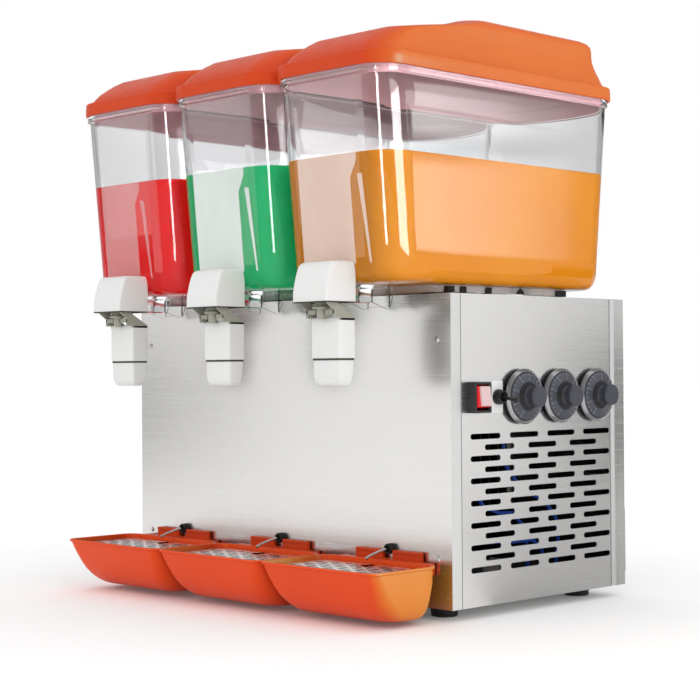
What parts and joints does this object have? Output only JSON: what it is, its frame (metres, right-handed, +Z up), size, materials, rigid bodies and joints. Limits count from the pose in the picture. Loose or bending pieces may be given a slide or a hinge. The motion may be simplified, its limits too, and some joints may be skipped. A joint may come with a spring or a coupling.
{
  "type": "chilled drink dispenser",
  "caption": "Counter-top chilled drink dispenser: steel cabinet, clear tanks with domed lids, push-lever taps, drip trays and temperature dials.",
  "frame": {"origin": "on the counter, midway between the four feet and below the centre of the cabinet", "axes": "+Z up, +X to the right seen from the taps, the taps face -Y"},
  "size_m": [0.6446, 0.492, 0.7502],
  "materials": {
    "stainless": "horizontally brushed",
    "screw_steel": "turned",
    "rubber": "moulded",
    "drain_steel": "polished tube in a rubber grommet",
    "grate_steel": "satin",
    "motor_paint": "satin paint",
    "compressor_paint": "black enamel",
    "condenser_metal": "bare fins on copper tube",
    "black_plastic": "moulded",
    "dial_plastic": "moulded, with a bright rim",
    "thermostat_plastic": "moulded",
    "wire": "sleeved wire",
    "red_lens": "translucent",
    "clear_plastic": "clear, polished",
    "orange_plastic": "moulded, satin gloss",
    "drink_red": "liquid",
    "drink_green": "liquid",
    "drink_orange": "liquid",
    "white_plastic": "moulded",
    "spring_steel": "wire"
  },
  "bodies": {
    "cabinet": {"base_pan": "stainless", "front_panel": "stainless", "left_side_panel": "stainless", "right_side_panel": "stainless", "rear_panel": "stainless", "rear_grille": "stainless", "top_plate": "stainless", "feet": "rubber", "panel_screws": "screw_steel", "evaporator_1": "stainless", "evaporator_2": "stainless", "evaporator_3": "stainless", "evaporator_seals": "rubber", "pump_motors": "motor_paint", "tray_pegs": "rubber", "drain_spouts": "drain_steel", "rocker_housing": "black_plastic", "toggle_housing": "black_plastic", "thermostats": "thermostat_plastic", "compressor": "compressor_paint", "condenser": "condenser_metal", "fan_shroud": "motor_paint", "power_inlet": "black_plastic", "wiring_loom": "wire"},
    "tank_1": {"tank_1": "clear_plastic", "drink_1": "drink_red", "tap_body_1": "white_plastic", "tap_spring_1": "spring_steel"},
    "tank_2": {"tank_2": "clear_plastic", "drink_2": "drink_green", "tap_body_2": "white_plastic", "tap_spring_2": "spring_steel"},
    "tank_3": {"tank_3": "clear_plastic", "drink_3": "drink_orange", "tap_body_3": "white_plastic", "tap_spring_3": "spring_steel"},
    "lid_1": {"lid_1": "orange_plastic"},
    "lid_2": {"lid_2": "orange_plastic"},
    "lid_3": {"lid_3": "orange_plastic"},
    "tap_lever_1": {"tap_lever_1": "white_plastic"},
    "tap_lever_2": {"tap_lever_2": "white_plastic"},
    "tap_lever_3": {"tap_lever_3": "white_plastic"},
    "tap_plunger_1": {"tap_plunger_1": "white_plastic"},
    "tap_plunger_2": {"tap_plunger_2": "white_plastic"},
    "tap_plunger_3": {"tap_plunger_3": "white_plastic"},
    "impeller_1": {"impeller_1": "white_plastic"},
    "impeller_2": {"impeller_2": "white_plastic"},
    "impeller_3": {"impeller_3": "white_plastic"},
    "drip_tray_1": {"drip_tray_1": "orange_plastic"},
    "drip_tray_2": {"drip_tray_2": "orange_plastic"},
    "drip_tray_3": {"drip_tray_3": "orange_plastic"},
    "tray_grate_1": {"tray_grate_1": "grate_steel"},
    "tray_grate_2": {"tray_grate_2": "grate_steel"},
    "tray_grate_3": {"tray_grate_3": "grate_steel"},
    "dial_1": {"dial_1": "dial_plastic"},
    "dial_2": {"dial_2": "dial_plastic"},
    "dial_3": {"dial_3": "dial_plastic"},
    "power_rocker": {"power_rocker": "red_lens"},
    "pump_toggle": {"pump_toggle": "black_plastic"},
    "fan_blade": {"fan_blade": "black_plastic"}
  },
  "joints": [
    {"name": "tank_lift_1", "type": "slide", "parent": "cabinet", "child": "tank_1", "axis": [0, 0, 1], "range_m": [0, 0.14]},
    {"name": "lid_lift_1", "type": "slide", "parent": "tank_1", "child": "lid_1", "axis": [0, 0, 1], "range_m": [0, 0.08]},
    {"name": "tap_press_1", "type": "hinge", "parent": "tank_1", "child": "tap_lever_1", "pos_m": [-0.2033, -0.303, 0.392], "axis": [1, 0, 0], "range_deg": [0, 18], "stiffness_Nm_per_rad": 0.2, "springref_deg": -14.32},
    {"name": "plunger_lift_1", "type": "slide", "parent": "tank_1", "child": "tap_plunger_1", "axis": [0, 0, 1], "range_m": [0, 0.0052], "deforming": ["tap_spring_1"]},
    {"name": "impeller_spin_1", "type": "hinge", "parent": "cabinet", "child": "impeller_1", "pos_m": [-0.2033, -0.008, 0.525], "axis": [0, 0, 1], "continuous": true},
    {"name": "tray_slide_1", "type": "slide", "parent": "cabinet", "child": "drip_tray_1", "axis": [0, -1, 0], "range_m": [0, 0.13]},
    {"name": "grate_lift_1", "type": "slide", "parent": "drip_tray_1", "child": "tray_grate_1", "axis": [0, 0, 1], "range_m": [0, 0.06]},
    {"name": "dial_turn_1", "type": "hinge", "parent": "cabinet", "child": "dial_1", "pos_m": [0.32, -0.043, 0.271], "axis": [1, 0, 0], "range_deg": [0, 270]},
    {"name": "tank_lift_2", "type": "slide", "parent": "cabinet", "child": "tank_2", "axis": [0, 0, 1], "range_m": [0, 0.14]},
    {"name": "lid_lift_2", "type": "slide", "parent": "tank_2", "child": "lid_2", "axis": [0, 0, 1], "range_m": [0, 0.08]},
    {"name": "tap_press_2", "type": "hinge", "parent": "tank_2", "child": "tap_lever_2", "pos_m": [0, -0.303, 0.392], "axis": [1, 0, 0], "range_deg": [0, 18], "stiffness_Nm_per_rad": 0.2, "springref_deg": -14.32},
    {"name": "plunger_lift_2", "type": "slide", "parent": "tank_2", "child": "tap_plunger_2", "axis": [0, 0, 1], "range_m": [0, 0.0052], "deforming": ["tap_spring_2"]},
    {"name": "impeller_spin_2", "type": "hinge", "parent": "cabinet", "child": "impeller_2", "pos_m": [0, -0.008, 0.525], "axis": [0, 0, 1], "continuous": true},
    {"name": "tray_slide_2", "type": "slide", "parent": "cabinet", "child": "drip_tray_2", "axis": [0, -1, 0], "range_m": [0, 0.13]},
    {"name": "grate_lift_2", "type": "slide", "parent": "drip_tray_2", "child": "tray_grate_2", "axis": [0, 0, 1], "range_m": [0, 0.06]},
    {"name": "dial_turn_2", "type": "hinge", "parent": "cabinet", "child": "dial_2", "pos_m": [0.32, 0.0313, 0.271], "axis": [1, 0, 0], "range_deg": [0, 270]},
    {"name": "tank_lift_3", "type": "slide", "parent": "cabinet", "child": "tank_3", "axis": [0, 0, 1], "range_m": [0, 0.14]},
    {"name": "lid_lift_3", "type": "slide", "parent": "tank_3", "child": "lid_3", "axis": [0, 0, 1], "range_m": [0, 0.08]},
    {"name": "tap_press_3", "type": "hinge", "parent": "tank_3", "child": "tap_lever_3", "pos_m": [0.2033, -0.303, 0.392], "axis": [1, 0, 0], "range_deg": [0, 18], "stiffness_Nm_per_rad": 0.2, "springref_deg": -14.32},
    {"name": "plunger_lift_3", "type": "slide", "parent": "tank_3", "child": "tap_plunger_3", "axis": [0, 0, 1], "range_m": [0, 0.0052], "deforming": ["tap_spring_3"]},
    {"name": "impeller_spin_3", "type": "hinge", "parent": "cabinet", "child": "impeller_3", "pos_m": [0.2033, -0.008, 0.525], "axis": [0, 0, 1], "continuous": true},
    {"name": "tray_slide_3", "type": "slide", "parent": "cabinet", "child": "drip_tray_3", "axis": [0, -1, 0], "range_m": [0, 0.13]},
    {"name": "grate_lift_3", "type": "slide", "parent": "drip_tray_3", "child": "tray_grate_3", "axis": [0, 0, 1], "range_m": [0, 0.06]},
    {"name": "dial_turn_3", "type": "hinge", "parent": "cabinet", "child": "dial_3", "pos_m": [0.32, 0.1056, 0.271], "axis": [1, 0, 0], "range_deg": [0, 270]},
    {"name": "rocker_press", "type": "hinge", "parent": "cabinet", "child": "power_rocker", "pos_m": [0.308, -0.1285, 0.271], "axis": [0, 1, 0], "range_deg": [0, 14]},
    {"name": "toggle_flip", "type": "hinge", "parent": "cabinet", "child": "pump_toggle", "pos_m": [0.3145, -0.089, 0.271], "axis": [0, 1, 0], "range_deg": [-20, 0]},
    {"name": "fan_spin", "type": "hinge", "parent": "cabinet", "child": "fan_blade", "pos_m": [0.056, 0.02, 0.165], "axis": [1, 0, 0], "continuous": true}
  ],
  "couplings": [
    {"joint": "plunger_lift_1", "follows": "tap_press_1", "m_per_rad": 0.0155},
    {"joint": "plunger_lift_2", "follows": "tap_press_2", "m_per_rad": 0.0155},
    {"joint": "plunger_lift_3", "follows": "tap_press_3", "m_per_rad": 0.0155}
  ]
}
